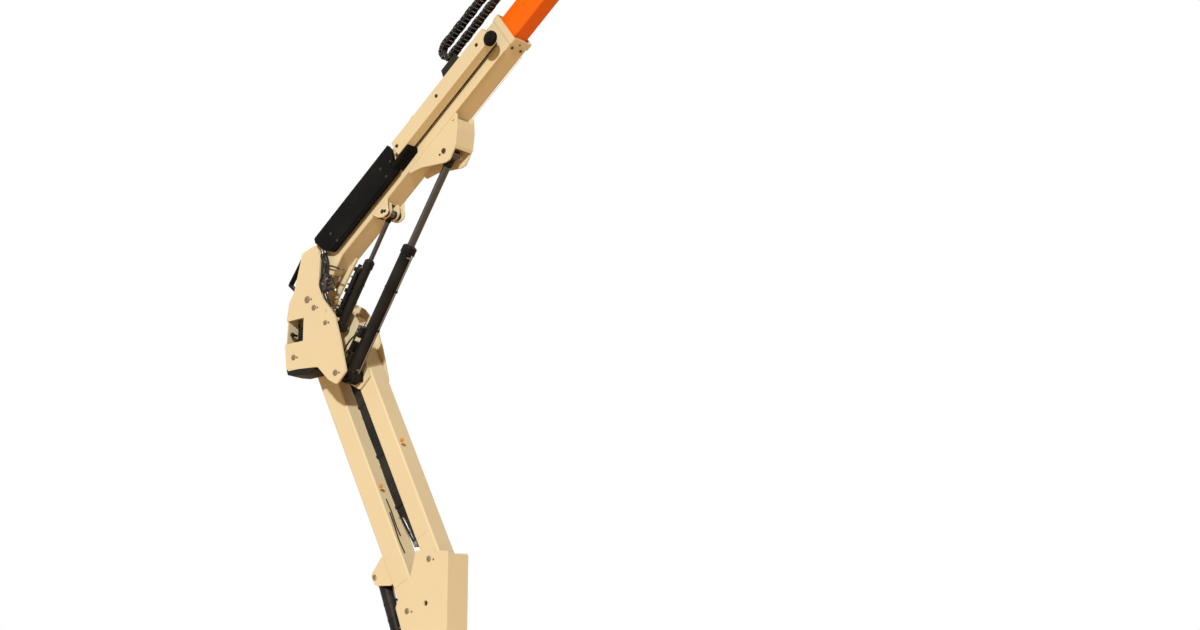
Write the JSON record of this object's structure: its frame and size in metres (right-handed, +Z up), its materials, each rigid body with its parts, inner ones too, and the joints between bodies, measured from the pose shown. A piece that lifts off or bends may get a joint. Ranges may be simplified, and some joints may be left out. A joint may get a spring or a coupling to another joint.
{
  "type": "articulating boom lift",
  "caption": "Self-propelled articulating boom lift: slewing turntable, two stacked risers, side-mounted telescopic boom, jib and railed platform on a wheeled chassis",
  "frame": {"origin": "on the ground under the slewing axis of the turntable", "axes": "+X the way the boom points and the chassis drive axle faces, +Z up, boom offset towards -Y"},
  "size_m": [7.7245, 2.3505, 11.3878],
  "materials": {
    "cream_paint": "gloss",
    "orange_paint": "gloss",
    "black_plastic": "satin",
    "black_paint": "satin",
    "grey_paint": "satin",
    "chromed_rod": "polished",
    "bright_steel": "satin",
    "cast_weight": "painted",
    "tyre_rubber": "matt",
    "hose_rubber": "matt"
  },
  "bodies": {
    "chassis": {"chassis_frame": "grey_paint", "swing_bearing": "bright_steel", "drive_axle": "black_paint", "steer_axle": "black_paint"},
    "knuckle_left": {"knuckle_left": "black_paint"},
    "knuckle_right": {"knuckle_right": "black_paint"},
    "wheel_drive_left": {"tyre_drive_left": "tyre_rubber", "rim_drive_left": "cream_paint"},
    "wheel_drive_right": {"tyre_drive_right": "tyre_rubber", "rim_drive_right": "cream_paint"},
    "wheel_steer_left": {"tyre_steer_left": "tyre_rubber", "rim_steer_left": "cream_paint"},
    "wheel_steer_right": {"tyre_steer_right": "tyre_rubber", "rim_steer_right": "cream_paint"},
    "turntable": {"turntable_deck": "grey_paint", "counterweight": "cast_weight", "tower_base": "cream_paint", "engine_block": "black_paint", "ground_console": "black_plastic", "channel_wall_left": "cream_paint", "channel_wall_right": "cream_paint"},
    "hood_left": {"hood_left": "orange_paint"},
    "hood_right": {"hood_right": "orange_paint"},
    "lower_riser": {"lower_riser": "cream_paint"},
    "lower_links": {"lower_links": "cream_paint"},
    "mid_upright": {"mid_upright": "cream_paint"},
    "upper_riser_rear": {"upper_riser_rear": "cream_paint"},
    "upper_riser_front": {"upper_riser_front": "cream_paint", "riser_hoses": "hose_rubber"},
    "upper_upright": {"upper_upright": "cream_paint", "upright_pins": "bright_steel", "upright_guard": "black_paint"},
    "tower_barrel": {"tower_barrel": "black_paint"},
    "tower_rod": {"tower_rod": "chromed_rod"},
    "boom_base": {"boom_base": "cream_paint", "boom_cover": "black_plastic", "hose_tray": "cream_paint", "tray_cap": "black_plastic"},
    "lift_barrel": {"lift_barrel": "black_paint"},
    "lift_rod": {"lift_rod": "chromed_rod"},
    "master_barrel": {"master_barrel": "black_paint"},
    "master_rod": {"master_rod": "chromed_rod"},
    "fly_boom": {"fly_boom": "orange_paint", "powertrack": "black_plastic"},
    "slave_barrel": {"slave_barrel": "black_paint"},
    "slave_rod": {"slave_rod": "chromed_rod"},
    "jib_base": {"jib_base": "cream_paint"},
    "jib_arm": {"jib_arm": "orange_paint"},
    "jib_links": {"jib_links": "orange_paint"},
    "jib_head": {"jib_head": "orange_paint"},
    "jib_barrel": {"jib_barrel": "black_paint"},
    "jib_rod": {"jib_rod": "chromed_rod"},
    "platform": {"platform_mount": "grey_paint", "platform_frame": "grey_paint", "platform_console": "black_plastic"},
    "platform_gate": {"platform_gate": "grey_paint"}
  },
  "joints": [
    {"name": "steer_left", "type": "hinge", "parent": "chassis", "child": "knuckle_left", "pos_m": [-1.17, 0.7, 0.419], "axis": [0, 0, 1], "range_deg": [-35, 35]},
    {"name": "steer_right", "type": "hinge", "parent": "chassis", "child": "knuckle_right", "pos_m": [-1.17, -0.7, 0.419], "axis": [0, 0, 1], "range_deg": [-35.02, 35.02]},
    {"name": "roll_drive_left", "type": "hinge", "parent": "chassis", "child": "wheel_drive_left", "pos_m": [1.17, 1.0175, 0.419], "axis": [0, 1, 0], "continuous": true},
    {"name": "roll_drive_right", "type": "hinge", "parent": "chassis", "child": "wheel_drive_right", "pos_m": [1.17, -1.0175, 0.419], "axis": [0, 1, 0], "continuous": true},
    {"name": "roll_steer_left", "type": "hinge", "parent": "knuckle_left", "child": "wheel_steer_left", "pos_m": [-1.17, 1.0175, 0.419], "axis": [0, 1, 0], "continuous": true},
    {"name": "roll_steer_right", "type": "hinge", "parent": "knuckle_right", "child": "wheel_steer_right", "pos_m": [-1.17, -1.0175, 0.419], "axis": [0, 1, 0], "continuous": true},
    {"name": "swing", "type": "hinge", "parent": "chassis", "child": "turntable", "pos_m": [0, 0, 0.8], "axis": [0, 0, 1], "range_deg": [-177.5, 177.5]},
    {"name": "hood_left_lid", "type": "hinge", "parent": "turntable", "child": "hood_left", "pos_m": [-0.2, 0.256, 1.494], "axis": [1, 0, 0], "range_deg": [0, 70]},
    {"name": "hood_right_lid", "type": "hinge", "parent": "turntable", "child": "hood_right", "pos_m": [-0.2, -0.256, 1.494], "axis": [-1, 0, 0], "range_deg": [0, 70]},
    {"name": "tower_lift", "type": "hinge", "parent": "turntable", "child": "lower_riser", "pos_m": [-0.79096, 0, 1.12635], "axis": [0, -1, 0], "range_deg": [-58.4, 9.6]},
    {"name": "lower_links_turn", "type": "hinge", "parent": "turntable", "child": "lower_links", "pos_m": [-0.63096, 0, 0.96635], "axis": [0, -1, 0], "range_deg": [-58.42, 9.62]},
    {"name": "mid_level", "type": "hinge", "parent": "lower_riser", "child": "mid_upright", "pos_m": [0.497, 0, 3.59], "axis": [0, -1, 0], "range_deg": [-9.62, 58.42]},
    {"name": "rear_riser_turn", "type": "hinge", "parent": "mid_upright", "child": "upper_riser_rear", "pos_m": [0.42, 0, 3.95], "axis": [0, -1, 0], "range_deg": [-9.62, 58.42]},
    {"name": "front_riser_turn", "type": "hinge", "parent": "mid_upright", "child": "upper_riser_front", "pos_m": [0.69, 0, 4.414], "axis": [0, -1, 0], "range_deg": [-9.62, 58.42]},
    {"name": "upright_level", "type": "hinge", "parent": "upper_riser_rear", "child": "upper_upright", "pos_m": [-0.92819, 0, 6.52885], "axis": [0, -1, 0], "range_deg": [-58.42, 9.62]},
    {"name": "tower_barrel_turn", "type": "hinge", "parent": "upper_riser_rear", "child": "tower_barrel", "pos_m": [-0.043, 0, 4.31], "axis": [0, -1, 0], "range_deg": [-34.35, 5.66]},
    {"name": "tower_rod_slide", "type": "slide", "parent": "tower_barrel", "child": "tower_rod", "axis": [0.3721, 0, -0.9282], "range_m": [-0.4126, 0.0687]},
    {"name": "main_lift", "type": "hinge", "parent": "upper_upright", "child": "boom_base", "pos_m": [-0.75819, -0.24, 7.09185], "axis": [0, -1, 0], "range_deg": [-36.8, 38]},
    {"name": "lift_barrel_turn", "type": "hinge", "parent": "upper_upright", "child": "lift_barrel", "pos_m": [-0.32119, -0.24, 6.28385], "axis": [0, -1, 0], "range_deg": [-30.17, 31.15]},
    {"name": "lift_rod_slide", "type": "slide", "parent": "lift_barrel", "child": "lift_rod", "axis": [0.5524, 0, 0.8336], "range_m": [-0.5098, 0.5264]},
    {"name": "master_barrel_turn", "type": "hinge", "parent": "upper_upright", "child": "master_barrel", "pos_m": [-0.48619, -0.24, 6.81185], "axis": [0, -1, 0], "range_deg": [-34.21, 35.32]},
    {"name": "master_rod_slide", "type": "slide", "parent": "master_barrel", "child": "master_rod", "axis": [0.5432, 0, 0.8396], "range_m": [-0.2343, 0.2419]},
    {"name": "telescope", "type": "slide", "parent": "boom_base", "child": "fly_boom", "axis": [0.8, 0, 0.6], "range_m": [-1.55, 0.75]},
    {"name": "platform_level", "type": "hinge", "parent": "fly_boom", "child": "jib_base", "pos_m": [3.3118, -0.24, 10.33186], "axis": [0, -1, 0], "range_deg": [-38.02, 36.82]},
    {"name": "slave_barrel_turn", "type": "hinge", "parent": "fly_boom", "child": "slave_barrel", "pos_m": [2.5598, -0.24, 9.91786], "axis": [0, -1, 0], "range_deg": [-3.6, 3.48]},
    {"name": "slave_rod_slide", "type": "slide", "parent": "slave_barrel", "child": "slave_rod", "axis": [0.7817, 0, 0.6237], "range_m": [-0.0901, 0.093]},
    {"name": "jib_lift", "type": "hinge", "parent": "jib_base", "child": "jib_arm", "pos_m": [3.6118, -0.24, 10.37186], "axis": [0, -1, 0], "range_deg": [-75, 60]},
    {"name": "jib_links_turn", "type": "hinge", "parent": "jib_base", "child": "jib_links", "pos_m": [3.6578, -0.24, 10.15686], "axis": [0, -1, 0], "range_deg": [-75.02, 60.02]},
    {"name": "jib_head_level", "type": "hinge", "parent": "jib_arm", "child": "jib_head", "pos_m": [4.80955, -0.24, 10.6928], "axis": [0, -1, 0], "range_deg": [-60.02, 75.02]},
    {"name": "jib_barrel_turn", "type": "hinge", "parent": "jib_base", "child": "jib_barrel", "pos_m": [3.60552, -0.24, 10.22199], "axis": [0, -1, 0], "range_deg": [-72.84, 58.27]},
    {"name": "jib_rod_slide", "type": "slide", "parent": "jib_barrel", "child": "jib_rod", "axis": [0.9683, 0, 0.2497], "range_m": [-0.16, 0.1282]},
    {"name": "platform_rotate", "type": "hinge", "parent": "jib_head", "child": "platform", "pos_m": [5.04955, -0.24, 10.6928], "axis": [0, 0, 1], "range_deg": [-90, 90]},
    {"name": "gate_swing", "type": "hinge", "parent": "platform", "child": "platform_gate", "pos_m": [5.47955, 0.675, 10.8628], "axis": [0, 0, 1], "range_deg": [0, 90]}
  ],
  "couplings": [
    {"joint": "steer_right", "follows": "steer_left", "ratio": 1},
    {"joint": "lower_links_turn", "follows": "tower_lift", "ratio": 1},
    {"joint": "mid_level", "follows": "tower_lift", "ratio": -1},
    {"joint": "rear_riser_turn", "follows": "tower_lift", "ratio": -1},
    {"joint": "front_riser_turn", "follows": "tower_lift", "ratio": -1},
    {"joint": "upright_level", "follows": "tower_lift", "ratio": 1},
    {"joint": "tower_barrel_turn", "follows": "tower_lift", "ratio": 0.5879},
    {"joint": "tower_rod_slide", "follows": "tower_lift", "m_per_rad": 0.4038},
    {"joint": "lift_barrel_turn", "follows": "main_lift", "ratio": 0.8192},
    {"joint": "lift_rod_slide", "follows": "main_lift", "m_per_rad": 0.7922},
    {"joint": "master_barrel_turn", "follows": "main_lift", "ratio": 0.929},
    {"joint": "master_rod_slide", "follows": "main_lift", "m_per_rad": 0.3632},
    {"joint": "platform_level", "follows": "main_lift", "ratio": -1},
    {"joint": "slave_barrel_turn", "follows": "main_lift", "ratio": -0.0941},
    {"joint": "slave_rod_slide", "follows": "main_lift", "m_per_rad": 0.1387},
    {"joint": "jib_links_turn", "follows": "jib_lift", "ratio": 1},
    {"joint": "jib_head_level", "follows": "jib_lift", "ratio": -1},
    {"joint": "jib_barrel_turn", "follows": "jib_lift", "ratio": 0.9709},
    {"joint": "jib_rod_slide", "follows": "jib_lift", "m_per_rad": 0.1215}
  ]
}
